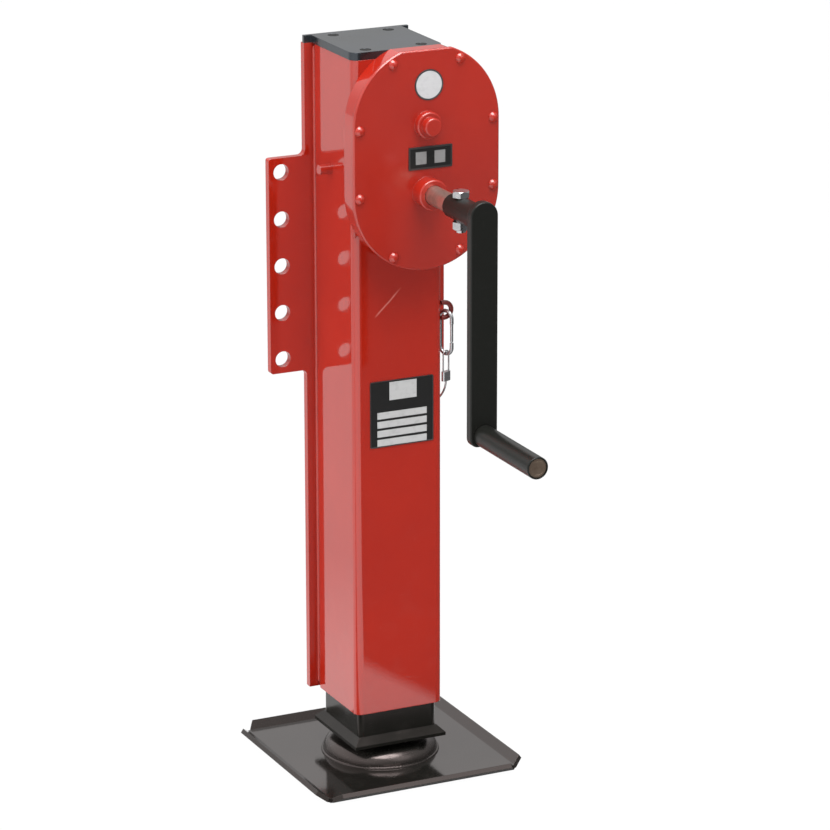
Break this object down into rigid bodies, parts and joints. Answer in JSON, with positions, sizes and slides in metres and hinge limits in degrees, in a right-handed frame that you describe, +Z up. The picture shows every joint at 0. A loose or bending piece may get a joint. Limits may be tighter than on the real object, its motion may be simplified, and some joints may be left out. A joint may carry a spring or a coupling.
{
  "type": "screw support leg",
  "caption": "Telescopic square support leg with a geared hand crank, vertical spindle, back mounting plate and a tilting foot plate.",
  "frame": {"origin": "on the ground under the tube's axis, in the middle of the foot plate's underside", "axes": "+Z up along the tube, -Y towards the crank, +Y towards the mounting plate, millimetres in the source"},
  "size_m": [0.2394, 0.4455, 0.7785],
  "materials": {
    "red_paint": "gloss",
    "black_paint": "gloss",
    "turned_steel": "satin",
    "gear_steel": "satin",
    "zinc": "satin",
    "bronze": "satin",
    "cup_plastic": "matte"
  },
  "bodies": {
    "housing": {"outer_tube": "red_paint", "mounting_plate": "red_paint", "top_lid": "black_paint", "lid_screws": "black_paint", "gear_housing": "red_paint", "gear_cover": "red_paint", "cover_screws": "red_paint", "shaft_bushes": "bronze", "bevel_sleeve": "bronze", "bearing_block": "turned_steel", "block_pins": "red_paint", "block_bush": "bronze", "thrust_race_top": "turned_steel", "thrust_balls": "turned_steel", "hook_eye": "red_paint", "lanyard": "zinc", "lanyard_anchor": "red_paint"},
    "crank": {"crank_shaft": "turned_steel", "crank_pinion": "gear_steel", "crank_hub": "black_paint", "hub_bolt": "zinc", "hub_nut": "zinc", "crank_arm": "black_paint", "grip_pin": "turned_steel", "grip_clip": "turned_steel"},
    "grip": {"grip_sleeve": "black_paint"},
    "second": {"second_shaft": "turned_steel", "second_gear": "gear_steel", "second_pinion": "gear_steel"},
    "bevel": {"bevel_shaft": "turned_steel", "last_gear": "gear_steel", "bevel_pinion": "gear_steel"},
    "spindle": {"spindle": "turned_steel", "bevel_wheel": "gear_steel", "spacer_sleeve": "turned_steel", "lock_nut": "turned_steel", "thrust_race_low": "turned_steel"},
    "leg": {"inner_tube": "black_paint", "leg_flange": "black_paint", "ball_stud": "turned_steel", "lifting_nut": "bronze"},
    "cup": {"ball_cup": "cup_plastic"},
    "foot": {"foot_plate": "black_paint", "foot_socket": "black_paint"},
    "hook": {"hook_body": "zinc", "hook_loop": "zinc", "hook_ferrule": "zinc"},
    "gate": {"hook_gate": "zinc"}
  },
  "joints": [
    {"name": "crank_turn", "type": "hinge", "parent": "housing", "child": "crank", "pos_m": [0.019, 0, 0.632], "axis": [0, -1, 0], "range_deg": [0, 144000]},
    {"name": "second_turn", "type": "hinge", "parent": "housing", "child": "second", "pos_m": [0.019, 0, 0.702], "axis": [0, -1, 0], "range_deg": [-57600, 0]},
    {"name": "bevel_turn", "type": "hinge", "parent": "housing", "child": "bevel", "pos_m": [0, 0, 0.73258], "axis": [0, -1, 0], "range_deg": [0, 28800]},
    {"name": "spindle_turn", "type": "hinge", "parent": "housing", "child": "spindle", "pos_m": [0, 0, 0.6], "axis": [0, 0, 1], "range_deg": [0, 18000]},
    {"name": "leg_slide", "type": "slide", "parent": "housing", "child": "leg", "axis": [0, 0, -1], "range_m": [0, 0.35]},
    {"name": "grip_turn", "type": "hinge", "parent": "crank", "child": "grip", "pos_m": [0.019, -0.2, 0.4105], "axis": [0, -1, 0], "continuous": true},
    {"name": "foot_pitch", "type": "hinge", "parent": "leg", "child": "cup", "pos_m": [0, 0, 0.0191], "axis": [1, 0, 0], "range_deg": [-6, 6]},
    {"name": "foot_roll", "type": "hinge", "parent": "cup", "child": "foot", "pos_m": [0, 0, 0.0191], "axis": [0, 1, 0], "range_deg": [-6, 6]},
    {"name": "hook_swing", "type": "hinge", "parent": "housing", "child": "hook", "pos_m": [0.0556, -0.046, 0.48828], "axis": [1, 0, 0], "range_deg": [-8, 12], "deforming": ["lanyard"]},
    {"name": "gate_open", "type": "hinge", "parent": "hook", "child": "gate", "pos_m": [0.0586, -0.05342, 0.46394], "axis": [-0.9272, -0.3746, 0], "range_deg": [0, 25], "stiffness_Nm_per_rad": 0.02, "springref_deg": -5.73}
  ],
  "couplings": [
    {"joint": "second_turn", "follows": "crank_turn", "ratio": -0.4},
    {"joint": "bevel_turn", "follows": "crank_turn", "ratio": 0.2},
    {"joint": "spindle_turn", "follows": "crank_turn", "ratio": 0.125},
    {"joint": "leg_slide", "follows": "crank_turn", "m_per_rad": 0.00013926}
  ]
}
